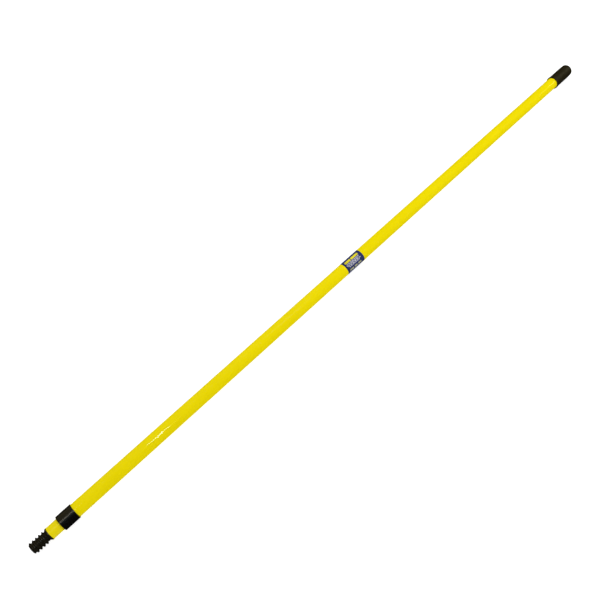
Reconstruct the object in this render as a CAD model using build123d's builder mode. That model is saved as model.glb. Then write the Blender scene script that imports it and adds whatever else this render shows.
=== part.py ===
# Two-section telescopic extension pole for a paint roller, in millimetres.
# It lies along X with its threaded tip towards -X. The origin is on the axis, at the rear end
# of the thread, where the socket of a roller handle comes to rest.
import os
from math import radians, tan

from build123d import *

# Telescopic steel tubes
inner_tube_diameter = 19.0
inner_tube_wall = 0.5
outer_tube_wall = 0.5
tube_gap = 1.0  # radial, between the two tubes
inner_tube_length = 1230.0
exposed_length = 18.2  # inner tube left showing when the pole is closed
tube_edge_chamfer = 0.15

# Threaded tip of 3/4 inch ACME size: its stud has the thread's major diameter
thread_diameter = 18.8
thread_root_diameter = 14.0
thread_length = 24.9
nose_chamfer = 1.6
shoulder_step = 0.3  # shoulder proud of the inner tube, all round
shoulder_length = 1.3
shoulder_cone_length = 3.4
tip_shank_length = 30.0
tip_core_diameter = 10.0
tip_core_floor = 6.0  # solid nose left in front of the moulding core

# Punched dimples that hold the tip and the lock plug in the inner tube
dimple_count = 2
dimple_radius = 3.0
dimple_depth = 0.8
dimple_clearance = 0.05
tip_dimple_setback = 24.0
plug_dimple_setback = 9.0

# Collar and guide bush on the mouth of the outer tube
collar_wall = 1.15
collar_length = 24.8
collar_lip_thickness = 1.5
collar_lip_clearance = 0.35
collar_front_chamfer = 0.6
bush_flange_thickness = 1.0
bush_length = 22.0
bush_clearance = 0.08
bush_lead_in = 0.4

# End cap pushed over the rear end of the outer tube
cap_length = 54.3
cap_sleeve_wall = 1.3
cap_end_wall = 0.85
cap_taper_length = 14.0  # drawn-in end of the cap
cap_floor_thickness = 4.5
cap_bead_step = 0.55  # bead proud of the cap's sleeve, all round
cap_bead_length = 3.2
cap_bead_chamfer = 0.35
cap_end_rounding = 3.0

# Film label wrapped round the outer tube
label_offset = 559.6  # from the rear edge of the collar
label_length = 40.7
label_thickness = 0.12

# Twist lock: plug, bolt, split sleeve, wedge nut, washer and stop nut
plug_shank_length = 24.0
plug_flange_length = 5.0
plug_edge_chamfer = 0.5
guide_clearance = 0.1  # radial, between the lock's sliding pieces and the outer tube
bolt_diameter = 8.0
bolt_head_across_flats = 13.0
bolt_head_height = 5.3
bolt_clearance = 0.05
bolt_end_chamfer = 0.8
bolt_end_length = 1.6  # bolt left showing behind the stop nut
lock_lead = 3.0  # two-start thread
lock_turn = 270.0  # twist between open and locked, in degrees
thrust_clearance = 0.15
sleeve_length = 28.0
sleeve_floor_thickness = 6.4
sleeve_mouth_wall = 1.8
sleeve_bolt_clearance = 0.2
wedge_half_angle = 10.0
taper_depth = 13.0
slot_count = 3
slot_width = 2.6
slot_end_web = 2.2  # slot bottom to sleeve floor, so that the fingers can bend
grip_groove_count = 3
grip_groove_width = 1.2
grip_groove_depth = 0.35
grip_groove_pitch = 4.0
grip_groove_setback = 3.0  # last groove to the sleeve's mouth
ring_section = 1.8  # square cut
ring_groove_width = 2.0
ring_groove_setback = 3.2  # ring centre to the sleeve's front face
ring_clearance = 0.05
wedge_engagement = 11.0  # cone inside the sleeve when locked
wedge_clearance = 0.08
wedge_head_gap = 0.6  # sleeve mouth to wedge head when locked
wedge_head_clearance = 1.2
wedge_head_length = 3.4
wedge_head_chamfer = 0.4
key_clearance = 0.2
key_tip_clearance = 0.5
washer_diameter = 16.0
washer_thickness = 1.6
stop_clearance = 0.2
stop_nut_across_flats = 13.0
stop_nut_height = 6.5
stop_nut_chamfer = 0.5
closed_gap = 0.3  # bolt end to the cap's floor when the pole is closed

# Radii of the tubes
inner_radius = inner_tube_diameter / 2
inner_bore_radius = inner_radius - inner_tube_wall
outer_bore_radius = inner_radius + tube_gap
outer_radius = outer_bore_radius + outer_tube_wall
collar_radius = outer_radius + collar_wall
cap_sleeve_radius = outer_radius + cap_sleeve_wall
cap_bead_radius = cap_sleeve_radius + cap_bead_step
cap_end_radius = outer_radius + cap_end_wall
shoulder_radius = inner_radius + shoulder_step
thread_radius = thread_diameter / 2

# Stations along X, from the tip to the cap
shoulder_front = shoulder_cone_length
inner_tube_front = shoulder_front + shoulder_length
inner_tube_rear = inner_tube_front + inner_tube_length
collar_front = inner_tube_front + exposed_length
collar_rear = collar_front + collar_length
bush_front = collar_front + collar_lip_thickness
outer_tube_front = bush_front + bush_flange_thickness
label_front = collar_rear + label_offset

# The lock stands behind the inner tube, with its wedge nut drawn in the open position
wedge_travel = lock_lead * lock_turn / 360
wedge_slope = tan(radians(wedge_half_angle))
plug_front = inner_tube_rear - plug_shank_length
plug_rear = inner_tube_rear + plug_flange_length
sleeve_front = plug_rear + thrust_clearance
sleeve_rear = sleeve_front + sleeve_length
wedge_front = sleeve_rear - wedge_engagement + wedge_travel
wedge_cone_length = wedge_engagement + wedge_head_gap
wedge_rear = wedge_front + wedge_cone_length + wedge_head_length
washer_front = wedge_rear + stop_clearance
nut_front = washer_front + washer_thickness
nut_rear = nut_front + stop_nut_height
bolt_rear = nut_rear + bolt_end_length
outer_tube_rear = bolt_rear + closed_gap
cap_rear = outer_tube_rear + cap_floor_thickness
cap_mouth = cap_rear - cap_length

# Radii inside the lock
guide_radius = outer_bore_radius - guide_clearance
sleeve_mouth_radius = guide_radius - sleeve_mouth_wall
sleeve_throat_radius = sleeve_mouth_radius - taper_depth * wedge_slope
sleeve_floor_rear = sleeve_front + sleeve_floor_thickness
wedge_nose_radius = sleeve_mouth_radius - wedge_engagement * wedge_slope - wedge_clearance
wedge_base_radius = wedge_nose_radius + wedge_cone_length * wedge_slope
wedge_head_radius = outer_bore_radius - wedge_head_clearance
bolt_radius = bolt_diameter / 2
ring_outer_radius = outer_bore_radius - ring_clearance
ring_inner_radius = ring_outer_radius - ring_section
ring_front = sleeve_front + ring_groove_setback - ring_section / 2
dimple_centre_radius = inner_radius + dimple_radius - dimple_depth
tip_dimple_station = inner_tube_front + tip_dimple_setback
plug_dimple_station = inner_tube_rear - plug_dimple_setback

os.makedirs("parts", exist_ok=True)


def ball_marks(station, radius, mode):
    """Balls that mark the ring of punched dimples at one station of the inner tube."""
    with Locations(Plane.YZ.offset(station)):
        with PolarLocations(dimple_centre_radius, dimple_count):
            Sphere(radius=radius, mode=mode)


def round_bore(front, rear, radius):
    """A round hole along the axis of the part being built."""
    with Locations(Plane.YZ.offset(front)):
        Cylinder(radius, rear - front, align=(Align.CENTER, Align.CENTER, Align.MIN), mode=Mode.SUBTRACT)


def widest_rims(piece):
    """The largest circular edges of a piece, from front to rear."""
    return piece.edges().filter_by(GeomType.CIRCLE).group_by(SortBy.RADIUS)[-1].sort_by(Axis.X)


# Inner section: the tube that slides out, and the threaded tip in its front end

with BuildPart() as dimple_bulges:
    for station in (tip_dimple_station, plug_dimple_station):
        ball_marks(station, dimple_radius + inner_tube_wall, Mode.ADD)
    with BuildSketch(Plane.YZ.offset(inner_tube_front)):
        Circle(inner_radius - inner_tube_wall / 2)
    extrude(amount=inner_tube_length, mode=Mode.INTERSECT)

with BuildPart() as inner_tube:
    with BuildSketch(Plane.YZ.offset(inner_tube_front)):
        Circle(inner_radius)
        Circle(inner_bore_radius, mode=Mode.SUBTRACT)
    extrude(amount=inner_tube_length)
    chamfer(widest_rims(inner_tube), length=tube_edge_chamfer)
    add(dimple_bulges.part)
    for station in (tip_dimple_station, plug_dimple_station):
        ball_marks(station, dimple_radius, Mode.SUBTRACT)
inner_tube.part.label = "inner_tube"
export_step(inner_tube.part, "parts/inner_tube.step")

with BuildPart() as threaded_tip:
    with BuildSketch(Plane.XZ):
        with BuildLine():
            Polyline(
                (-thread_length, 0),
                (-thread_length, thread_radius - nose_chamfer),
                (-thread_length + nose_chamfer, thread_radius),
                (0, thread_radius),
                (0, thread_root_diameter / 2),
                (shoulder_front, shoulder_radius),
                (inner_tube_front, shoulder_radius),
                (inner_tube_front, inner_bore_radius),
                (inner_tube_front + tip_shank_length, inner_bore_radius),
                (inner_tube_front + tip_shank_length, 0),
                close=True,
            )
        make_face()
    revolve(axis=Axis.X)
    round_bore(tip_core_floor - thread_length, inner_tube_front + tip_shank_length, tip_core_diameter / 2)
    chamfer(threaded_tip.edges().sort_by(Axis.X)[-1:], length=plug_edge_chamfer)
    ball_marks(tip_dimple_station, dimple_radius + inner_tube_wall + dimple_clearance, Mode.SUBTRACT)
threaded_tip.part.label = "threaded_tip"
export_step(threaded_tip.part, "parts/threaded_tip.step")

# Outer section: the handle tube with its guide bush, collar, end cap and label

with BuildPart() as outer_tube:
    with BuildSketch(Plane.YZ.offset(outer_tube_front)):
        Circle(outer_radius)
        Circle(outer_bore_radius, mode=Mode.SUBTRACT)
    extrude(amount=outer_tube_rear - outer_tube_front)
    chamfer(widest_rims(outer_tube), length=tube_edge_chamfer)
outer_tube.part.label = "outer_tube"
export_step(outer_tube.part, "parts/outer_tube.step")

with BuildPart() as guide_bush:
    with BuildSketch(Plane.YZ.offset(bush_front)):
        Circle(outer_radius)
    extrude(amount=bush_flange_thickness)
    with BuildSketch(Plane.YZ.offset(outer_tube_front)):
        Circle(outer_bore_radius)
    extrude(amount=bush_length)
    round_bore(bush_front, outer_tube_front + bush_length, inner_radius + bush_clearance)
    bore_edges = guide_bush.edges().filter_by(GeomType.CIRCLE).group_by(SortBy.RADIUS)[0]
    chamfer(bore_edges, length=bush_lead_in)
guide_bush.part.label = "guide_bush"
export_step(guide_bush.part, "parts/guide_bush.step")

with BuildPart() as collar:
    with BuildSketch(Plane.YZ.offset(collar_front)):
        Circle(collar_radius)
    extrude(amount=collar_length)
    round_bore(collar_front, collar_rear, inner_radius + collar_lip_clearance)
    round_bore(bush_front, collar_rear, outer_radius)
    chamfer(widest_rims(collar)[0], length=collar_front_chamfer)
collar.part.label = "collar"
export_step(collar.part, "parts/collar.step")

with BuildPart() as end_cap:
    with BuildSketch(Plane.XZ):
        with BuildLine():
            Polyline(
                (cap_mouth, 0),
                (cap_mouth, cap_bead_radius),
                (cap_mouth + cap_bead_length, cap_bead_radius),
                (cap_mouth + cap_bead_length, cap_sleeve_radius),
                (cap_rear - cap_taper_length, cap_sleeve_radius),
                (cap_rear, cap_end_radius),
                (cap_rear, 0),
                close=True,
            )
        make_face()
    revolve(axis=Axis.X)
    fillet(end_cap.edges().sort_by(Axis.X)[-1:], radius=cap_end_rounding)
    chamfer(widest_rims(end_cap), length=cap_bead_chamfer)
    round_bore(cap_mouth, outer_tube_rear, outer_radius)
end_cap.part.label = "end_cap"
export_step(end_cap.part, "parts/end_cap.step")

with BuildPart() as label_band:
    with BuildSketch(Plane.YZ.offset(label_front)):
        Circle(outer_radius + label_thickness)
        Circle(outer_radius, mode=Mode.SUBTRACT)
    extrude(amount=label_length)
label_band.part.label = "label_band"
export_step(label_band.part, "parts/label_band.step")

# Twist lock: the plug and the bolt turn with the inner tube

with BuildPart() as lock_plug:
    with BuildSketch(Plane.YZ.offset(plug_front)):
        Circle(inner_bore_radius)
    extrude(amount=plug_shank_length)
    chamfer(lock_plug.edges().sort_by(Axis.X)[:1], length=plug_edge_chamfer)
    with BuildSketch(Plane.YZ.offset(inner_tube_rear)):
        Circle(guide_radius)
    extrude(amount=plug_flange_length)
    chamfer(lock_plug.edges().sort_by(Axis.X)[-1:], length=plug_edge_chamfer)
    with BuildSketch(Plane.YZ.offset(plug_front)):
        RegularPolygon(bolt_head_across_flats / 2, 6, major_radius=False)
    extrude(amount=bolt_head_height, mode=Mode.SUBTRACT)
    round_bore(plug_front, plug_rear, bolt_radius)
    ball_marks(plug_dimple_station, dimple_radius + inner_tube_wall + dimple_clearance, Mode.SUBTRACT)
lock_plug.part.label = "lock_plug"
export_step(lock_plug.part, "parts/lock_plug.step")

with BuildPart() as lock_bolt:
    with BuildSketch(Plane.YZ.offset(plug_front)):
        RegularPolygon(bolt_head_across_flats / 2, 6, major_radius=False)
    extrude(amount=bolt_head_height)
    with BuildSketch(Plane.YZ.offset(plug_front)):
        Circle(bolt_radius)
    extrude(amount=bolt_rear - plug_front)
    chamfer(lock_bolt.edges().sort_by(Axis.X)[-1:], length=bolt_end_chamfer)
lock_bolt.part.label = "lock_bolt"
export_step(lock_bolt.part, "parts/lock_bolt.step")

with BuildPart() as stop_washer:
    with BuildSketch(Plane.YZ.offset(washer_front)):
        Circle(washer_diameter / 2)
        Circle(bolt_radius, mode=Mode.SUBTRACT)
    extrude(amount=washer_thickness)
stop_washer.part.label = "stop_washer"
export_step(stop_washer.part, "parts/stop_washer.step")

with BuildPart() as stop_nut:
    with BuildSketch(Plane.YZ.offset(nut_front)):
        RegularPolygon(stop_nut_across_flats / 2, 6, major_radius=False)
    extrude(amount=stop_nut_height)
    chamfer(stop_nut.faces().sort_by(Axis.X)[-1].edges(), length=stop_nut_chamfer)
    round_bore(nut_front, nut_rear, bolt_radius)
stop_nut.part.label = "stop_nut"
export_step(stop_nut.part, "parts/stop_nut.step")

# Twist lock: the split sleeve drags on the outer tube, and the wedge nut spreads its fingers

with BuildPart() as expander_sleeve:
    with BuildSketch(Plane.XZ):
        with BuildLine():
            Polyline(
                (sleeve_front, bolt_radius + sleeve_bolt_clearance),
                (sleeve_front, guide_radius),
                (sleeve_rear, guide_radius),
                (sleeve_rear, sleeve_mouth_radius),
                (sleeve_rear - taper_depth, sleeve_throat_radius),
                (sleeve_floor_rear, sleeve_throat_radius),
                (sleeve_floor_rear, bolt_radius + sleeve_bolt_clearance),
                close=True,
            )
        make_face()
    revolve(axis=Axis.X)
    for groove in range(grip_groove_count):
        groove_rear = sleeve_rear - grip_groove_setback - groove * grip_groove_pitch
        with BuildSketch(Plane.YZ.offset(groove_rear)):
            Circle(guide_radius)
            Circle(guide_radius - grip_groove_depth, mode=Mode.SUBTRACT)
        extrude(amount=-grip_groove_width, mode=Mode.SUBTRACT)
    with BuildSketch(Plane.YZ.offset(sleeve_front + ring_groove_setback - ring_groove_width / 2)):
        Circle(guide_radius)
        Circle(ring_inner_radius, mode=Mode.SUBTRACT)
    extrude(amount=ring_groove_width, mode=Mode.SUBTRACT)
    slot_front = sleeve_floor_rear + slot_end_web
    with BuildSketch(Plane.YZ.offset(slot_front)):
        with PolarLocations(guide_radius / 2, slot_count):
            Rectangle(guide_radius + slot_width, slot_width)
    extrude(amount=sleeve_rear - slot_front, mode=Mode.SUBTRACT)
expander_sleeve.part.label = "expander_sleeve"
export_step(expander_sleeve.part, "parts/expander_sleeve.step")

with BuildPart() as drag_ring:
    with BuildSketch(Plane.YZ.offset(ring_front)):
        Circle(ring_outer_radius)
        Circle(ring_inner_radius, mode=Mode.SUBTRACT)
    extrude(amount=ring_section)
drag_ring.part.label = "drag_ring"
export_step(drag_ring.part, "parts/drag_ring.step")

with BuildPart() as wedge_nut:
    with BuildSketch(Plane.XZ):
        with BuildLine():
            Polyline(
                (wedge_front, 0),
                (wedge_front, wedge_nose_radius),
                (wedge_front + wedge_cone_length, wedge_base_radius),
                (wedge_front + wedge_cone_length, wedge_head_radius),
                (wedge_rear, wedge_head_radius),
                (wedge_rear, 0),
                close=True,
            )
        make_face()
    revolve(axis=Axis.X)
    chamfer(widest_rims(wedge_nut)[-1], length=wedge_head_chamfer)
    key_height = guide_radius - key_tip_clearance
    with BuildSketch(Plane.YZ.offset(wedge_front)):
        with PolarLocations(key_height / 2, slot_count):
            Rectangle(key_height, slot_width - 2 * key_clearance)
    extrude(amount=wedge_cone_length)
    round_bore(wedge_front, wedge_rear, bolt_radius + bolt_clearance)
wedge_nut.part.label = "wedge_nut"
export_step(wedge_nut.part, "parts/wedge_nut.step")
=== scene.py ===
# Roller extension pole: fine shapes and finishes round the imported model.
# Everything is in metres. The pole lies along X with its threaded tip towards -X.
import math

import bmesh
import bpy
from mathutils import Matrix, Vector


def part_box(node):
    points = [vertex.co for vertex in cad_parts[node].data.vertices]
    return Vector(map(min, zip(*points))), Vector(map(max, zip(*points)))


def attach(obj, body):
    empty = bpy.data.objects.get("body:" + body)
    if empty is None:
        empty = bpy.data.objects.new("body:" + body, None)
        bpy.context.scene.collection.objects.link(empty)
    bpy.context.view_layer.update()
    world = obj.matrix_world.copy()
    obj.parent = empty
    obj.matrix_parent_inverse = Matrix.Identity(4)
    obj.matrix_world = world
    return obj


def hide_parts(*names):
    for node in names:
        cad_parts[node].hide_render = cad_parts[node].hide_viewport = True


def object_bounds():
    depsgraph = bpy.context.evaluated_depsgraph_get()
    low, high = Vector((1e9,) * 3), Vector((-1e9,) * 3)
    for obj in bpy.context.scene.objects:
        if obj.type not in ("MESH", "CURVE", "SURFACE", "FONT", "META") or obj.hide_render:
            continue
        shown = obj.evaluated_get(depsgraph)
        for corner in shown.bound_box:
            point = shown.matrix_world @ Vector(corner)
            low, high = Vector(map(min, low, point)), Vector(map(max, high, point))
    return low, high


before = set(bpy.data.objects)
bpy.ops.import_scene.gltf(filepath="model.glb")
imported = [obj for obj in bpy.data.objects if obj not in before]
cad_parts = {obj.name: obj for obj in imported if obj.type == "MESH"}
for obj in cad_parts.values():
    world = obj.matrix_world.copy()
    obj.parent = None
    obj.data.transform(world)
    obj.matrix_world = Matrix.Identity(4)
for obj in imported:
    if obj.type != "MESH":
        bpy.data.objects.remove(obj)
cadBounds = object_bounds()
print("frame loaded:", len(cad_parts), "nodes")

mm = 0.001
fullTurn = 2 * math.pi
mergeDistance = 1e-6  # points nearer than this are one


# Node trees


class Link:  # the output of a node, which can stand in a sum
    def __init__(self, graph, socket):
        self.graph = graph
        self.socket = socket

    def maths(self, operation, other=0.0):
        return self.graph.node("ShaderNodeMath", {"operation": operation}, {0: self, 1: other})

    def __add__(self, other):
        return self.maths("ADD", other)

    __radd__ = __add__

    def __mul__(self, other):
        return self.maths("MULTIPLY", other)

    __rmul__ = __mul__

    def __sub__(self, other):
        return self.maths("SUBTRACT", other)

    def __rsub__(self, other):
        return self.graph.node("ShaderNodeMath", {"operation": "SUBTRACT"}, {0: other, 1: self})

    def __truediv__(self, other):
        return self.maths("DIVIDE", other)

    def __rtruediv__(self, other):
        return self.graph.node("ShaderNodeMath", {"operation": "DIVIDE"}, {0: other, 1: self})


class Graph:  # a node tree, of a material or of Geometry Nodes
    def __init__(self, nodeTree):
        self.nodeTree = nodeTree
        nodeTree.nodes.clear()

    def node(self, kind, settings=None, inputs=None, output=0):
        made = self.nodeTree.nodes.new(kind)
        for name, value in (settings or {}).items():
            setattr(made, name, value)
        for name, value in (inputs or {}).items():
            if isinstance(value, Link):
                self.nodeTree.links.new(value.socket, made.inputs[name])
            else:
                made.inputs[name].default_value = value
        return Link(self, made.outputs[output] if made.outputs else None)

    def step(self, value, start, end, kind="SMOOTHSTEP"):  # 0 up to start, 1 from end on
        limits = {"Value": value, "From Min": start, "From Max": end}
        return self.node("ShaderNodeMapRange", {"interpolation_type": kind}, limits)

    def band(self, value, low, high, blur):  # 1 between low and high, with soft edges
        rise = self.step(value, low - blur, low + blur)
        fall = self.step(value, high - blur, high + blur)
        return rise - fall

    def noise(self, place, scale, detail=2.0, roughness=0.5):
        inputs = {"Vector": place, "Scale": scale, "Detail": detail, "Roughness": roughness}
        return self.node("ShaderNodeTexNoise", None, inputs)

    def stretch(self, place, factors):
        return self.node("ShaderNodeVectorMath", {"operation": "MULTIPLY"}, {0: place, 1: factors})

    def mix(self, factor, first, second):  # of two colours
        inputs = {0: factor, 6: first, 7: second}
        return self.node("ShaderNodeMix", {"data_type": "RGBA"}, inputs, output=2)

    def bump(self, height, strength, distance):
        inputs = {"Height": height, "Strength": strength, "Distance": distance}
        return self.node("ShaderNodeBump", None, inputs)

    def axes(self, place):  # the x, y and z of a vector
        split = self.nodeTree.nodes.new("ShaderNodeSeparateXYZ")
        self.nodeTree.links.new(place.socket, split.inputs[0])
        return [Link(self, socket) for socket in split.outputs]

    def surface(self, inputs):
        shader = self.node("ShaderNodeBsdfPrincipled", None, inputs)
        self.node("ShaderNodeOutputMaterial", None, {"Surface": shader})


def newMaterial(name):
    material = bpy.data.materials.new(name)
    material.use_nodes = True
    graph = Graph(material.node_tree)
    place = graph.node("ShaderNodeTexCoord", output="Object")
    return material, graph, place


def colour(red, green, blue):
    return (red, green, blue, 1.0)


# Yellow powder coat of the two tubes


def makeYellowCoat(name, look):
    material, graph, place = newMaterial(name)
    peel = graph.noise(place, look["peelScale"], detail=2.0)
    drift = graph.noise(place, look["driftScale"], detail=3.0)
    rubs = graph.noise(graph.stretch(place, look["rubStretch"]), 1.0, detail=4.0, roughness=0.6)
    rubMask = graph.step(rubs, *look["rubRange"]) * look["rubAmount"]
    base = graph.mix(drift, look["shade"], look["tint"])
    base = graph.mix(rubMask, base, look["rubColour"])
    graph.surface({
        "Base Color": base,
        "Roughness": look["roughness"] + drift * look["driftRoughness"] + rubMask * look["rubRoughness"],
        "IOR": 1.5,
        "Specular IOR Level": look["specular"],
        "Normal": graph.bump(peel, look["peelStrength"], look["peelDepth"]),
    })
    return material


yellowLook = {
    "shade": colour(0.81, 0.665, 0.0018), "tint": colour(0.87, 0.725, 0.0024),
    "driftScale": 22.0, "driftRoughness": 0.015,
    "rubColour": colour(0.68, 0.55, 0.008), "rubAmount": 0.12, "rubRange": (0.62, 0.74),
    "rubStretch": (5.0, 700.0, 700.0), "rubRoughness": 0.25,
    "peelScale": 700.0, "peelStrength": 0.05, "peelDepth": 0.05 * mm,
    "roughness": 0.045, "specular": 0.15,
}
slidingLook = dict(yellowLook, rubAmount=0.3, roughness=0.22)  # the inner tube rubs as it slides
yellowCoat = makeYellowCoat("yellowCoat", yellowLook)
slidingCoat = makeYellowCoat("slidingCoat", slidingLook)


# Glossy black of the collar


def makeGlossBlack(name, look):
    material, graph, place = newMaterial(name)
    flow = graph.noise(graph.stretch(place, look["flowStretch"]), 1.0, detail=3.0)
    grain = graph.noise(place, look["grainScale"], detail=2.0)
    scuffs = graph.noise(graph.stretch(place, look["scuffStretch"]), 1.0, detail=5.0, roughness=0.65)
    scuffMask = graph.step(scuffs, *look["scuffRange"])
    graph.surface({
        "Base Color": graph.mix(scuffMask * look["scuffAmount"], look["base"], look["worn"]),
        "Roughness": look["roughness"] + flow * look["flowRoughness"] + scuffMask * look["scuffRoughness"],
        "IOR": 1.49,
        "Normal": graph.bump(grain, look["grainStrength"], look["grainDepth"]),
    })
    return material


collarLook = {
    "base": colour(0.0032, 0.0028, 0.0022), "worn": colour(0.02, 0.018, 0.015),
    "flowStretch": (60.0, 200.0, 200.0), "flowRoughness": 0.08,
    "scuffStretch": (90.0, 900.0, 900.0), "scuffRange": (0.6, 0.78), "scuffAmount": 0.5,
    "scuffRoughness": 0.2,
    "grainScale": 1500.0, "grainStrength": 0.08, "grainDepth": 0.04 * mm, "roughness": 0.22,
}
collarBlack = makeGlossBlack("collarBlack", collarLook)


# Matt black mouldings: tip, cap, plug, bush and drag ring


def makeMouldedBlack(name, look):
    material, graph, place = newMaterial(name)
    grain = graph.noise(place, look["grainScale"], detail=3.0, roughness=0.6)
    dust = graph.noise(place, look["dustScale"], detail=4.0, roughness=0.6)
    dustMask = graph.step(dust, *look["dustRange"]) * look["dustAmount"]
    y, z = graph.axes(place)[1:]
    reach = (y * y + z * z).maths("SQRT")  # distance from the pole's axis
    edge = graph.step(reach, look["wearFrom"], look["wearTo"]) * look["wearAmount"]
    patches = graph.noise(place, look["wearScale"], detail=4.0, roughness=0.6)
    edge = edge * graph.step(patches, *look["wearRange"])
    base = graph.mix(dustMask, look["base"], look["dust"])
    graph.surface({
        "Base Color": graph.mix(edge, base, look["worn"]),
        "Roughness": look["roughness"] + grain * look["grainRoughness"] - edge * look["wearPolish"],
        "IOR": 1.5,
        "Specular IOR Level": look["specular"],
        "Normal": graph.bump(grain, look["grainStrength"], look["grainDepth"]),
    })
    return material


tipLook = {
    "base": colour(0.0112, 0.0091, 0.0045), "roughness": 0.24, "specular": 0.5,
    "dust": colour(0.018, 0.016, 0.012), "dustScale": 260.0, "dustAmount": 0.25, "dustRange": (0.5, 0.8),
    "grainScale": 2200.0, "grainStrength": 0.25, "grainDepth": 0.06 * mm, "grainRoughness": 0.12,
    "worn": colour(0.03, 0.027, 0.02), "wearFrom": 8.9 * mm, "wearTo": 9.5 * mm, "wearScale": 700.0,
    "wearAmount": 0.3, "wearRange": (0.35, 0.7), "wearPolish": 0.1,
}
capLook = dict(
    tipLook, base=colour(0.0155, 0.0118, 0.0022), roughness=0.5, specular=0.25,
    dust=colour(0.04, 0.034, 0.02), dustScale=180.0, dustAmount=0.3,
    grainScale=1700.0, grainStrength=0.4,
    worn=colour(0.05, 0.046, 0.032), wearFrom=12.3 * mm, wearTo=12.9 * mm, wearScale=500.0,
    wearAmount=0.25,
)
plugLook = dict(
    tipLook, base=colour(0.012, 0.012, 0.012), wearFrom=10.3 * mm, wearTo=10.6 * mm, roughness=0.42,
)
ringLook = dict(
    capLook, base=colour(0.015, 0.015, 0.016), wearFrom=10.3 * mm, wearTo=10.5 * mm, roughness=0.62,
)
tipBlack = makeMouldedBlack("tipBlack", tipLook)
capBlack = makeMouldedBlack("capBlack", capLook)
plugBlack = makeMouldedBlack("plugBlack", plugLook)
ringRubber = makeMouldedBlack("ringRubber", ringLook)


# Zinc-plated steel of the bolt, nut and washer


def makeZincSteel(name, look):
    material, graph, place = newMaterial(name)
    cells = {"Vector": place, "Scale": look["spangleScale"]}
    spangle = graph.node("ShaderNodeTexVoronoi", None, cells)
    brush = graph.noise(graph.stretch(place, look["brushStretch"]), 1.0, detail=4.0, roughness=0.6)
    bloom = graph.noise(place, look["bloomScale"], detail=3.0)
    base = graph.mix(bloom, look["cool"], look["warm"])
    graph.surface({
        "Base Color": graph.mix(spangle * look["spangleAmount"], base, look["dull"]),
        "Metallic": 1.0,
        "Roughness": look["roughness"] + brush * look["brushRoughness"],
        "Normal": graph.bump(brush, look["brushStrength"], look["brushDepth"]),
    })
    return material


zincLook = {
    "cool": colour(0.60, 0.63, 0.68), "warm": colour(0.66, 0.64, 0.58), "bloomScale": 90.0,
    "dull": colour(0.42, 0.43, 0.44), "spangleScale": 900.0, "spangleAmount": 0.3,
    "brushStretch": (1500.0, 250.0, 250.0), "brushRoughness": 0.2, "brushStrength": 0.25,
    "brushDepth": 0.03 * mm, "roughness": 0.22,
}
zincSteel = makeZincSteel("zincSteel", zincLook)


# Natural nylon of the sleeve and the wedge


def makeNaturalNylon(name, look):
    material, graph, place = newMaterial(name)
    cloud = graph.noise(place, look["cloudScale"], detail=3.0)
    grain = graph.noise(place, look["grainScale"], detail=2.0)
    graph.surface({
        "Base Color": graph.mix(cloud, look["base"], look["shade"]),
        "Roughness": look["roughness"] + cloud * look["cloudRoughness"],
        "IOR": 1.53,
        "Subsurface Weight": look["scatterWeight"],
        "Subsurface Scale": look["scatterDepth"],
        "Normal": graph.bump(grain, look["grainStrength"], look["grainDepth"]),
    })
    return material


nylonLook = {
    "base": colour(0.78, 0.76, 0.68), "shade": colour(0.68, 0.65, 0.55),
    "cloudScale": 150.0, "cloudRoughness": 0.15, "roughness": 0.38,
    "grainScale": 1600.0, "grainStrength": 0.2, "grainDepth": 0.04 * mm,
    "scatterWeight": 0.15, "scatterDepth": 1.0 * mm,
}
naturalNylon = makeNaturalNylon("naturalNylon", nylonLook)


# Printed film of the label: blocks and broken lines, laid out in turns round the pole
# from the film's start and in parts of its length along the pole


def makeLabelFilm(name, look):
    material, graph, place = newMaterial(name)
    wrap = graph.node("ShaderNodeUVMap", {"uv_map": look["uvMap"]})
    around, along = graph.axes(wrap)[:2]
    fleck = graph.noise(place, look["fleckScale"], detail=3.0, roughness=0.7)
    base = graph.mix(fleck * look["fleckAmount"], look["ground"], look["groundLight"])
    for mark in look["marks"]:
        mask = graph.band(around, *mark["around"], look["blur"])
        mask = mask * graph.band(along, *mark["along"], look["blur"])
        if mark.get("pitch"):  # broken into dashes along the pole
            wave = (along * (fullTurn / mark["pitch"])).maths("SINE")
            mask = mask * graph.step(wave, mark["gap"] - look["dashBlur"], mark["gap"] + look["dashBlur"])
        base = graph.mix(mask, base, mark["ink"])
    crease = graph.noise(graph.stretch(place, look["creaseStretch"]), 1.0, detail=2.0)
    graph.surface({
        "Base Color": base,
        "Roughness": look["roughness"] + fleck * look["fleckRoughness"],
        "IOR": 1.5,
        "Specular IOR Level": look["specular"],
        "Normal": graph.bump(crease, look["creaseStrength"], look["creaseDepth"]),
    })
    return material


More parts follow.
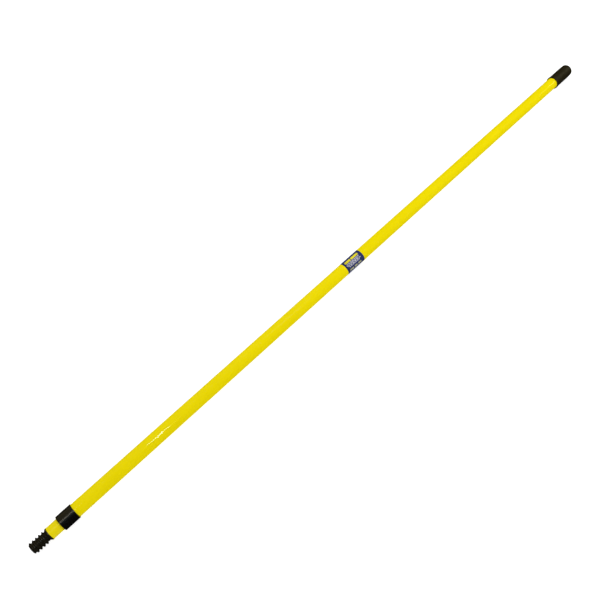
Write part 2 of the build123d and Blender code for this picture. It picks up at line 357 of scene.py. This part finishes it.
yellowInk = colour(0.80, 0.70, 0.02)
lilacInk = colour(0.62, 0.61, 0.68)
oliveInk = colour(0.42, 0.42, 0.22)
labelLook = {
    "uvMap": "wrap", "ground": colour(0.020, 0.030, 0.13), "groundLight": colour(0.05, 0.07, 0.2),
    "fleckScale": 900.0, "fleckAmount": 0.35, "fleckRoughness": 0.08,
    "creaseStretch": (30.0, 400.0, 400.0), "creaseStrength": 0.2, "creaseDepth": 0.08 * mm,
    "roughness": 0.3, "specular": 0.3, "blur": 0.006, "dashBlur": 0.25,
    "marks": [
        {"around": (0.372, 0.438), "along": (0.10, 0.42), "ink": yellowInk},
        {"around": (0.372, 0.438), "along": (0.46, 0.86), "ink": yellowInk},
        {"around": (0.456, 0.474), "along": (0.09, 0.85), "ink": lilacInk, "pitch": 0.11, "gap": -0.6},
        {"around": (0.484, 0.502), "along": (0.062, 0.78), "ink": lilacInk, "pitch": 0.08, "gap": -0.6},
        {"around": (0.512, 0.530), "along": (0.10, 0.87), "ink": lilacInk, "pitch": 0.13, "gap": -0.6},
        {"around": (0.540, 0.558), "along": (0.16, 0.785), "ink": lilacInk, "pitch": 0.09, "gap": -0.6},
        {"around": (0.606, 0.650), "along": (0.12, 0.34), "ink": oliveInk},
        {"around": (0.606, 0.650), "along": (0.40, 0.56), "ink": oliveInk},
        {"around": (0.606, 0.650), "along": (0.62, 0.80), "ink": oliveInk},
        {"around": (0.690, 0.716), "along": (0.08, 0.87), "ink": lilacInk, "pitch": 0.10, "gap": -0.4},
    ],
}
labelFilm = makeLabelFilm("labelFilm", labelLook)
print("finishes made")


# Turned shapes


holdShare = 0.25  # how far beyond an arc its holding points stand, in roundings


def roundCorners(corners, steps=5):
    # an outline through (x, radius, rounding) corners, where each rounding is an arc
    # with a point just before and after it, which keeps the straight runs evenly shaded
    points = []
    count = len(corners)
    for index, (x, radius, rounding) in enumerate(corners):
        corner = Vector((x, radius))
        if not rounding:
            points.append(corner)
            continue
        back = (Vector(corners[index - 1][:2]) - corner).normalized()
        ahead = (Vector(corners[(index + 1) % count][:2]) - corner).normalized()
        half = back.angle(ahead) / 2
        centre = corner + (back + ahead).normalized() * (rounding / math.sin(half))
        first = corner + back * (rounding / math.tan(half)) - centre
        last = corner + ahead * (rounding / math.tan(half)) - centre
        points.append(centre + first + back * rounding * holdShare)
        start = math.atan2(first.y, first.x)
        sweep = math.remainder(math.atan2(last.y, last.x) - start, fullTurn)
        for step in range(steps + 1):
            angle = start + sweep * step / steps
            points.append(centre + Vector((math.cos(angle), math.sin(angle))) * rounding)
        points.append(centre + last + ahead * rounding * holdShare)
    return points


def addRows(outline, stations, closed=False):
    # more points where the straight runs of an outline cross the stations along X
    finer = []
    followers = outline[1:] + (outline[:1] if closed else [])
    for here, following in zip(outline, followers):
        finer.append(here)
        low, high = sorted((here.x, following.x))
        crossed = sorted((x for x in stations if low < x < high), reverse=following.x < here.x)
        finer += [here.lerp(following, (x - here.x) / (following.x - here.x)) for x in crossed]
    return finer if closed else finer + outline[-1:]


def turnOutline(outline, segments, closed=False, shape=None, flats=None):
    # turns an outline of (x, radius) points about the axis; a radius of 0 makes a pole,
    # and flats is half the distance across a hexagon that cuts the turned shape
    shape = shape or bmesh.new()
    sixthTurn = fullTurn / 6
    rings = []
    for x, radius in outline:
        if radius < mergeDistance:
            rings.append([shape.verts.new((x, 0, 0))] * segments)
            continue
        ring = []
        for k in range(segments):
            angle = fullTurn * k / segments
            reach = radius
            if flats:  # six of them, with one facing +Y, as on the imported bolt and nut
                fromFlat = (angle + sixthTurn / 2) % sixthTurn - sixthTurn / 2
                reach = min(radius, flats / math.cos(fromFlat))
            ring.append(shape.verts.new((x, reach * math.cos(angle), reach * math.sin(angle))))
        rings.append(ring)
    for near, far in zip(rings, rings[1:] + (rings[:1] if closed else [])):
        for k in range(segments):
            following = (k + 1) % segments
            loop = dict.fromkeys((near[k], near[following], far[following], far[k]))
            shape.faces.new(loop.keys())
    return shape


def punchDimples(shape, stations, dimple):
    # presses two opposite dimples into the wall at each station, at +Y and -Y
    for vertex in shape.verts:
        x, y, z = vertex.co
        radius = math.hypot(y, z)
        if radius < dimple["wallFrom"]:
            continue
        arc = radius * math.asin(min(1.0, abs(z) / radius))
        for station in stations:
            away = math.hypot(x - station, arc)
            if away < dimple["reach"]:
                depth = dimple["depth"] * math.cos(math.pi * away / (2 * dimple["reach"])) ** 2
                vertex.co = (x, y * (1 - depth / radius), z * (1 - depth / radius))


def toMesh(name, shape, sharpAngle=35):
    bmesh.ops.remove_doubles(shape, verts=shape.verts, dist=mergeDistance)
    bmesh.ops.recalc_face_normals(shape, faces=shape.faces)
    mesh = bpy.data.meshes.new(name)
    shape.to_mesh(mesh)
    shape.free()
    mesh.shade_smooth()
    mesh.set_sharp_from_angle(angle=math.radians(sharpAngle))
    return mesh


def addPiece(name, mesh, material, body, node):
    piece = bpy.data.objects.new(name, mesh)
    bpy.context.scene.collection.objects.link(piece)
    mesh.materials.clear()
    mesh.materials.append(material)
    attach(piece, body)
    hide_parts(node)
    return piece


def radii(node):
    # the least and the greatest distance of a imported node's points from the axis
    reaches = [math.hypot(v.co.y, v.co.z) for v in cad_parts[node].data.vertices]
    return min(reaches), max(reaches)


tubeFront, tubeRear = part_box("outer_tube")
tubeBore, tubeRadius = radii("outer_tube")
rodFront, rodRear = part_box("inner_tube")
rodRadius = radii("inner_tube")[1]


# Outer tube

outerTube = {"segments": 128, "edge": 0.12 * mm, "edgeSteps": 3}
outline = roundCorners([
    (tubeFront.x, tubeRadius, outerTube["edge"]),
    (tubeRear.x, tubeRadius, outerTube["edge"]),
    (tubeRear.x, tubeBore, outerTube["edge"]),
    (tubeFront.x, tubeBore, outerTube["edge"]),
], outerTube["edgeSteps"])
shape = turnOutline(outline, outerTube["segments"], closed=True)
mesh = toMesh("outer_tube_coated", shape)
addPiece("outer_tube_coated", mesh, yellowCoat, "outer_section", "outer_tube")


# Inner tube, with the dimples that hold the tip and the plug

innerTube = {"segments": 192, "edge": 0.12 * mm, "edgeSteps": 3, "wall": 0.5 * mm}
dimple = {
    "depth": 0.8 * mm, "reach": 2.6 * mm, "rowStep": 0.25 * mm,
    "tipSetback": 24.0 * mm, "plugSetback": 9.0 * mm,
    "wallFrom": 8.0 * mm,  # what is nearer the axis isn't pressed in
}
dimpleStations = [rodFront.x + dimple["tipSetback"], rodRear.x - dimple["plugSetback"]]
rowCount = math.ceil(dimple["reach"] / dimple["rowStep"])
dimpleRows = [station + k * dimple["rowStep"]
              for station in dimpleStations for k in range(-rowCount, rowCount + 1)]
rodBore = rodRadius - innerTube["wall"]
outline = roundCorners([
    (rodFront.x, rodRadius, innerTube["edge"]),
    (rodRear.x, rodRadius, innerTube["edge"]),
    (rodRear.x, rodBore, innerTube["edge"]),
    (rodFront.x, rodBore, innerTube["edge"]),
], innerTube["edgeSteps"])
shape = turnOutline(addRows(outline, dimpleRows, closed=True), innerTube["segments"], closed=True)
punchDimples(shape, dimpleStations, dimple)
mesh = toMesh("inner_tube_coated", shape)
addPiece("inner_tube_coated", mesh, slidingCoat, "inner_section", "inner_tube")
print("tubes made")


# Helical thread

threadInputs = {
    "Front": "Float", "Length": "Float", "Lead": "Float", "Starts": "Int",
    "Crest Radius": "Float", "Root Radius": "Float", "Crest Width": "Float", "Flank Width": "Float",
    "Root Ease": "Float", "Nose Slope": "Float", "Run Out": "Float", "Start Turn": "Float",
    "Steps per Lead": "Int", "Segments": "Int", "Finish": "Material",
}


def buildThreadTree():
    # a grid sheared into a helix: its rows follow the thread, and its ends are cut square
    tree = bpy.data.node_groups.new("helicalThread", "GeometryNodeTree")
    tree.is_modifier = True
    for label, kind in threadInputs.items():
        tree.interface.new_socket(label, in_out="INPUT", socket_type="NodeSocket" + kind)
    tree.interface.new_socket("Mesh", in_out="OUTPUT", socket_type="NodeSocketGeometry")
    graph = Graph(tree)
    given = tree.nodes.new("NodeGroupInput")
    value = {socket.name: Link(graph, socket) for socket in given.outputs if socket.name}

    rowStep = value["Lead"] / value["Steps per Lead"]
    lastRow = ((value["Length"] + value["Lead"]) / rowStep).maths("CEIL")
    grid = graph.node("GeometryNodeMeshGrid", None, {
        "Size X": 1.0, "Size Y": 1.0,
        "Vertices X": lastRow + 1.0, "Vertices Y": value["Segments"] + 1.0,
    })
    u, v = graph.axes(graph.node("GeometryNodeInputPosition"))[:2]  # each from -0.5 to 0.5
    turn = v + 0.5
    row = ((u + 0.5) * lastRow).maths("ROUND")
    sheared = row * rowStep - value["Lead"] + value["Lead"] * turn
    x = sheared.maths("MAXIMUM", 0.0).maths("MINIMUM", value["Length"])

    # radius from the distance to the nearest crest, along the pole
    phase = (value["Starts"] * (x / value["Lead"] - turn) + value["Start Turn"]).maths("FRACT")
    fromCrest = (phase - 0.5).maths("ABSOLUTE") * value["Lead"] / value["Starts"]
    crestEdge = value["Crest Width"] * 0.5
    fall = graph.step(fromCrest, crestEdge, crestEdge + value["Flank Width"], "LINEAR")
    rise = (1.0 - fall).maths("POWER", value["Root Ease"])
    rise = rise * graph.step(value["Length"] - x, 0.0, value["Run Out"])
    radius = value["Root Radius"] + (value["Crest Radius"] - value["Root Radius"]) * rise
    radius = radius.maths("MINIMUM", value["Root Radius"] + x * value["Nose Slope"])

    angle = turn * fullTurn
    place = graph.node("ShaderNodeCombineXYZ", None, {
        "X": value["Front"] + x, "Y": radius * angle.maths("COSINE"), "Z": radius * angle.maths("SINE"),
    })
    moved = graph.node("GeometryNodeSetPosition", None, {"Geometry": grid, "Position": place})
    merged = graph.node("GeometryNodeMergeByDistance", None, {"Geometry": moved, "Distance": mergeDistance})
    real = graph.node("GeometryNodeRealizeInstances", None, {"Geometry": merged})
    finished = graph.node("GeometryNodeSetMaterial", None, {"Geometry": real, "Material": value["Finish"]})
    graph.node("NodeGroupOutput", None, {"Mesh": finished})
    return tree


def growMesh(name, tree, values):
    # the plain mesh that a Geometry Nodes tree makes from these values
    carrier = bpy.data.objects.new(name, bpy.data.meshes.new(name))
    bpy.context.scene.collection.objects.link(carrier)
    modifier = carrier.modifiers.new(name, "NODES")
    modifier.node_group = tree
    for item in tree.interface.items_tree:
        if item.in_out == "INPUT":
            modifier[item.identifier] = values[item.name]
    evaluated = carrier.evaluated_get(bpy.context.evaluated_depsgraph_get())
    mesh = bpy.data.meshes.new_from_object(evaluated)
    bpy.data.objects.remove(carrier)
    return mesh


threadTree = buildThreadTree()


# Threaded tip

tip = {
    "segments": 144, "shoulderRadius": 9.8 * mm, "shoulderEdge": 0.3 * mm, "coneLength": 3.4 * mm,
    "gateRadius": 2.2 * mm, "gateDepth": 0.3 * mm, "coreRadius": 5.0 * mm, "coreFloor": 6.0 * mm,
    "rearEdge": 0.5 * mm,
}
tipThread = {
    "Lead": 5.08 * mm, "Starts": 1, "Crest Radius": 9.4 * mm, "Root Radius": 7.0 * mm,
    "Crest Width": 0.5 * mm, "Flank Width": 1.95 * mm, "Root Ease": 1.35, "Nose Slope": 1.1,
    "Run Out": 1.6 * mm, "Start Turn": 0.12, "Steps per Lead": 40, "Segments": tip["segments"],
}
tipFront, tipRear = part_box("threaded_tip")
fit = {"Front": tipFront.x, "Length": -tipFront.x, "Finish": tipBlack}
thread = growMesh("tip_thread", threadTree, tipThread | fit)
nose = roundCorners([
    (tipFront.x + tip["gateDepth"], 0.0, 0.0),
    (tipFront.x + tip["gateDepth"], tip["gateRadius"] - tip["gateDepth"], 0.0),
    (tipFront.x, tip["gateRadius"], 0.0),
    (tipFront.x, tipThread["Root Radius"], 0.0),
])
stem = roundCorners([
    (0.0, tipThread["Root Radius"], 0.0),
    (tip["coneLength"], tip["shoulderRadius"], tip["shoulderEdge"]),
    (rodFront.x, tip["shoulderRadius"], tip["shoulderEdge"]),
    (rodFront.x, rodBore, 0.0),
    (tipRear.x, rodBore, tip["rearEdge"]),
    (tipRear.x, tip["coreRadius"], tip["rearEdge"]),
    (tipFront.x + tip["coreFloor"], tip["coreRadius"], tip["rearEdge"]),
    (tipFront.x + tip["coreFloor"], 0.0, 0.0),
])
shape = turnOutline(addRows(stem, dimpleRows), tip["segments"])
punchDimples(shape, dimpleStations, dimple)
turnOutline(nose, tip["segments"], shape=shape)
shape.from_mesh(thread)
mesh = toMesh("tip_moulding", shape)
addPiece("tip_moulding", mesh, tipBlack, "inner_section", "threaded_tip")
print("threaded tip made")


# Collar on the mouth of the outer tube

collar = {
    "segments": 128, "edgeSteps": 6,
    "frontEdge": 0.9 * mm, "rearEdge": 0.35 * mm, "insideEdge": 0.12 * mm,
}
collarFront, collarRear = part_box("collar")
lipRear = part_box("guide_bush")[0].x
lipRadius, collarRadius = radii("collar")
outline = roundCorners([
    (collarFront.x, collarRadius, collar["frontEdge"]),
    (collarRear.x, collarRadius, collar["rearEdge"]),
    (collarRear.x, tubeRadius, collar["insideEdge"]),
    (lipRear, tubeRadius, collar["insideEdge"]),
    (lipRear, lipRadius, collar["insideEdge"]),
    (collarFront.x, lipRadius, collar["insideEdge"]),
], collar["edgeSteps"])
shape = turnOutline(outline, collar["segments"], closed=True)
mesh = toMesh("collar_moulding", shape)
addPiece("collar_moulding", mesh, collarBlack, "outer_section", "collar")


# End cap, with a rolled bead at its mouth and a gate mark in its end

cap = {
    "segments": 128, "edgeSteps": 8, "sleeveRadius": 12.3 * mm, "endRadius": 11.85 * mm,
    "taperLength": 14.0 * mm, "taperRounding": 30.0 * mm, "endRounding": 3.3 * mm,
    "beadLength": 3.2 * mm, "beadEdge": 0.6 * mm, "beadRear": 0.22 * mm, "beadRoot": 0.2 * mm,
    "mouthEdge": 0.15 * mm, "gateRadius": 2.0 * mm, "gateDepth": 0.3 * mm,
}
capFront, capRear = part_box("end_cap")
beadRadius = radii("end_cap")[1]
outline = roundCorners([
    (capRear.x - cap["gateDepth"], 0.0, 0.0),
    (capRear.x - cap["gateDepth"], cap["gateRadius"] - cap["gateDepth"], 0.0),
    (capRear.x, cap["gateRadius"], 0.0),
    (capRear.x, cap["endRadius"], cap["endRounding"]),
    (capRear.x - cap["taperLength"], cap["sleeveRadius"], cap["taperRounding"]),
    (capFront.x + cap["beadLength"], cap["sleeveRadius"], cap["beadRoot"]),
    (capFront.x + cap["beadLength"], beadRadius, cap["beadRear"]),
    (capFront.x, beadRadius, cap["beadEdge"]),
    (capFront.x, tubeRadius, cap["mouthEdge"]),
    (tubeRear.x, tubeRadius, 0.0),
    (tubeRear.x, 0.0, 0.0),
], cap["edgeSteps"])
shape = turnOutline(outline, cap["segments"])
mesh = toMesh("cap_moulding", shape)
addPiece("cap_moulding", mesh, capBlack, "outer_section", "end_cap")


# Label film, wrapped once round the tube with its end lapped over its start underneath

label = {
    "columns": 240, "thickness": 0.08 * mm, "gap": 0.01 * mm,
    "seamTurn": -0.194, "lapTurn": 0.04, "stepTurn": 0.008,  # in turns about the pole
}
labelFront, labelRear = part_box("label_band")
shape = bmesh.new()
wrapMap = shape.loops.layers.uv.new(labelLook["uvMap"])
edges = []
turnOf = {}
for column in range(label["columns"] + 1):
    turn = (1 + label["lapTurn"]) * column / label["columns"]
    climb = min(1.0, max(0.0, (turn - 1 + label["stepTurn"]) / label["stepTurn"]))
    radius = tubeRadius + label["gap"] + label["thickness"] * (1 + climb)
    angle = (label["seamTurn"] + turn) * fullTurn
    pair = [shape.verts.new((x, radius * math.cos(angle), radius * math.sin(angle)))
            for x in (labelFront.x, labelRear.x)]
    turnOf.update({vertex: turn for vertex in pair})
    edges.append(pair)
for (a, b), (c, d) in zip(edges, edges[1:]):
    face = shape.faces.new((a, c, d, b))
    for loop in face.loops:
        along = (loop.vert.co.x - labelFront.x) / (labelRear.x - labelFront.x)
        loop[wrapMap].uv = (turnOf[loop.vert], along)
mesh = bpy.data.meshes.new("label_film")
shape.to_mesh(mesh)
shape.free()
mesh.shade_smooth()
film = addPiece("label_film", mesh, labelFilm, "outer_section", "label_band")
wall = film.modifiers.new("wall", "SOLIDIFY")
wall.thickness = label["thickness"]
wall.offset = -1.0  # the wall goes inwards from the printed face
print("collar, cap and label made")


# Hexagons of the lock's bolt and nut

hexagon = {
    "segments": 96, "flats": 6.48 * mm, "corner": 7.45 * mm,
    "crown": 6.1 * mm, "crownLength": 0.75 * mm, "crownRows": 6,
}


def crownStations(x, towards):
    # rows across the crown of a hexagon, from its flat face at x
    count = hexagon["crownRows"]
    return [x + towards * hexagon["crownLength"] * (k + 0.5) / count for k in range(count)]


# Bolt, with the two-start thread that draws the wedge in

bolt = {"radius": 4.0 * mm, "headHeight": 5.3 * mm, "threadStart": 29.0 * mm}
boltThread = {
    "Lead": 3.0 * mm, "Starts": 2, "Crest Radius": bolt["radius"], "Root Radius": 3.25 * mm,
    "Crest Width": 0.3 * mm, "Flank Width": 0.5 * mm, "Root Ease": 1.1, "Nose Slope": 1.0,
    "Run Out": 0.9 * mm, "Start Turn": 0.3, "Steps per Lead": 16, "Segments": hexagon["segments"],
}
boltFront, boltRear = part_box("lock_bolt")
threadFront = boltFront.x + bolt["threadStart"]
fit = {"Front": threadFront, "Length": boltRear.x - threadFront, "Finish": zincSteel}
thread = growMesh("bolt_thread", threadTree, boltThread | fit)
rootRadius = boltThread["Root Radius"]
outline = roundCorners([
    (boltFront.x, 0.0, 0.0),
    (boltFront.x, hexagon["crown"], 0.0),
    (boltFront.x + hexagon["crownLength"], hexagon["corner"], 0.0),
    (boltFront.x + bolt["headHeight"], hexagon["corner"], 0.0),
    (boltFront.x + bolt["headHeight"], bolt["radius"], 0.0),
    (threadFront - (bolt["radius"] - rootRadius), bolt["radius"], 0.0),
    (threadFront, rootRadius, 0.0),
])
outline = addRows(outline, crownStations(boltFront.x, 1))
shape = turnOutline(outline, hexagon["segments"], flats=hexagon["flats"])
end = [Vector((boltRear.x, rootRadius)), Vector((boltRear.x, 0.0))]
turnOutline(end, boltThread["Segments"], shape=shape)
shape.from_mesh(thread)
mesh = toMesh("lock_bolt_threaded", shape)
addPiece("lock_bolt_threaded", mesh, zincSteel, "inner_section", "lock_bolt")


# Nut on the end of the bolt

nutFront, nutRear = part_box("stop_nut")
outline = roundCorners([
    (nutFront.x, bolt["radius"], 0.0),
    (nutFront.x, hexagon["crown"], 0.0),
    (nutFront.x + hexagon["crownLength"], hexagon["corner"], 0.0),
    (nutRear.x - hexagon["crownLength"], hexagon["corner"], 0.0),
    (nutRear.x, hexagon["crown"], 0.0),
    (nutRear.x, bolt["radius"], 0.0),
])
stations = crownStations(nutFront.x, 1) + crownStations(nutRear.x, -1)
outline = addRows(outline, stations, closed=True)
shape = turnOutline(outline, hexagon["segments"], closed=True, flats=hexagon["flats"])
mesh = toMesh("stop_nut_chamfered", shape)
addPiece("stop_nut_chamfered", mesh, zincSteel, "inner_section", "stop_nut")


# Washer and drag ring, plain rings with rounded rims

washer = {"node": "stop_washer", "segments": 96, "edge": 0.25 * mm, "edgeSteps": 4}
dragRing = {"node": "drag_ring", "segments": 96, "edge": 0.35 * mm, "edgeSteps": 4}


def turnRing(name, ring):
    front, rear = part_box(ring["node"])
    bore, rim = radii(ring["node"])
    outline = roundCorners([
        (front.x, rim, ring["edge"]), (rear.x, rim, ring["edge"]),
        (rear.x, bore, ring["edge"]), (front.x, bore, ring["edge"]),
    ], ring["edgeSteps"])
    return toMesh(name, turnOutline(outline, ring["segments"], closed=True))


mesh = turnRing("stop_washer_turned", washer)
addPiece("stop_washer_turned", mesh, zincSteel, "inner_section", washer["node"])
mesh = turnRing("drag_ring_moulded", dragRing)
addPiece("drag_ring_moulded", mesh, ringRubber, "lock_sleeve", dragRing["node"])


# Finishes of the lock's mouldings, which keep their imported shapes

lockFinishes = {
    "guide_bush": plugBlack, "lock_plug": plugBlack,
    "expander_sleeve": naturalNylon, "wedge_nut": naturalNylon,
}
for node, material in lockFinishes.items():
    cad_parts[node].data.materials.clear()
    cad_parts[node].data.materials.append(material)
print("lock finished")


# Floor, lights and camera

white = (1.0, 1.0, 1.0)
studio = {
    "floorSize": 12.0, "floorCentre": (0.6, 0.0), "floorColour": colour(0.43, 0.43, 0.43),
    "floorShade": colour(0.40, 0.40, 0.40), "shadeScale": 3.0, "floorGlow": 0.85,
    "floorRoughness": 0.8, "shadeRoughness": 0.1, "floorSpecular": 0.1,
    "skyColour": colour(*white), "skyStrength": 0.5,
    "camera": (0.1516, -0.3446, 0.9337), "heading": 44.632, "tilt": 61.501,  # degrees
    "lens": 38.2, "shift": (-0.0004, 0.00044), "clipStart": 0.01,
}
softboxes = {  # those that mirror make the gloss and the others give the even light
    "overheadBox": {"place": (1.4, 0.45, 2.4), "aim": (1.0, 0.0, 0.0), "size": (3.0, 3.0), "power": 49.0},
    "sideBox": {"place": (1.5, -1.5, 0.75), "aim": (1.6, 0.0, 0.0), "size": (1.2, 1.0), "power": 5.0},
    "sheenBox": {
        "place": (0.3, 1.9, 1.7), "aim": (0.3, 0.0, 0.0), "size": (3.0, 4.8), "power": 16.0,
        "tone": (1.0, 0.85, 0.42), "mirrors": True,
    },
    "tipLamp": {
        "place": (-0.13, -0.04, 0.934), "aim": (0.02, 0.0, 0.0), "size": (0.16, 0.2), "power": 0.64,
        "tone": (1.0, 0.9, 0.72), "mirrors": True,
    },
    "streakLamp": {
        "place": (0.2515, -0.27, 0.934), "aim": (0.2, 0.0, 0.0), "size": (0.062, 0.32), "power": 2.2,
        "tone": (0.62, 0.95, 1.0), "mirrors": True,
    },
    "middleLamp": {
        "place": (0.76, 0.08, 0.93), "aim": (0.46, 0.0, 0.0), "size": (0.4, 0.12), "power": 0.22,
        "mirrors": True,
    },
    "farLamp": {
        "place": (2.0, -0.43, 0.93), "aim": (1.07, 0.0, 0.0), "size": (0.3, 0.15), "power": 0.07,
        "mirrors": True,
    },
    "capLamp": {
        "place": (2.65, -0.4, 0.93), "aim": (1.26, 0.0, 0.0), "size": (0.7, 0.4), "power": 4.5,
        "tone": (1.0, 0.93, 0.62), "mirrors": True,
    },
}
floorLevel = cadBounds[0].z
floorPlace = (*studio["floorCentre"], floorLevel)
bpy.ops.mesh.primitive_plane_add(size=studio["floorSize"], location=floorPlace)
floor = bpy.context.object
floor.name = "floor"
material, graph, place = newMaterial("paleFloor")
tone = graph.noise(place, studio["shadeScale"], detail=2.0)
graph.surface({
    "Base Color": graph.mix(tone, studio["floorColour"], studio["floorShade"]),
    "Roughness": studio["floorRoughness"] + tone * studio["shadeRoughness"],
    "Specular IOR Level": studio["floorSpecular"],
    "Emission Color": colour(*white),
    "Emission Strength": studio["floorGlow"],
})
floor.data.materials.append(material)
floor.visible_glossy = False

world = bpy.data.worlds.new("studio")
bpy.context.scene.world = world
world.use_nodes = True
world.cycles_visibility.glossy = False
graph = Graph(world.node_tree)
skyLight = {"Color": studio["skyColour"], "Strength": studio["skyStrength"]}
sky = graph.node("ShaderNodeBackground", None, skyLight)
graph.node("ShaderNodeOutputWorld", None, {"Surface": sky})

for name, box in softboxes.items():
    light = bpy.data.lights.new(name, "AREA")
    light.shape = "RECTANGLE"
    light.size, light.size_y = box["size"]
    light.energy = box["power"]
    light.color = box.get("tone", white)
    holder = bpy.data.objects.new(name, light)
    holder.visible_glossy = box.get("mirrors", False)
    holder.visible_diffuse = not holder.visible_glossy
    holder.location = box["place"]
    ray = Vector(box["aim"]) - Vector(box["place"])
    holder.rotation_euler = ray.to_track_quat("-Z", "Y").to_euler()
    bpy.context.scene.collection.objects.link(holder)

camera = bpy.data.objects.new("camera", bpy.data.cameras.new("camera"))
camera.data.lens = studio["lens"]
camera.data.shift_x, camera.data.shift_y = studio["shift"]
camera.location = studio["camera"]
camera.rotation_euler = (math.radians(90 - studio["tilt"]), 0, math.radians(studio["heading"] - 90))
camera.data.clip_start = studio["clipStart"]
bpy.context.scene.collection.objects.link(camera)
bpy.context.scene.camera = camera
bpy.context.scene.view_settings.view_transform = "Standard"
print("studio set")
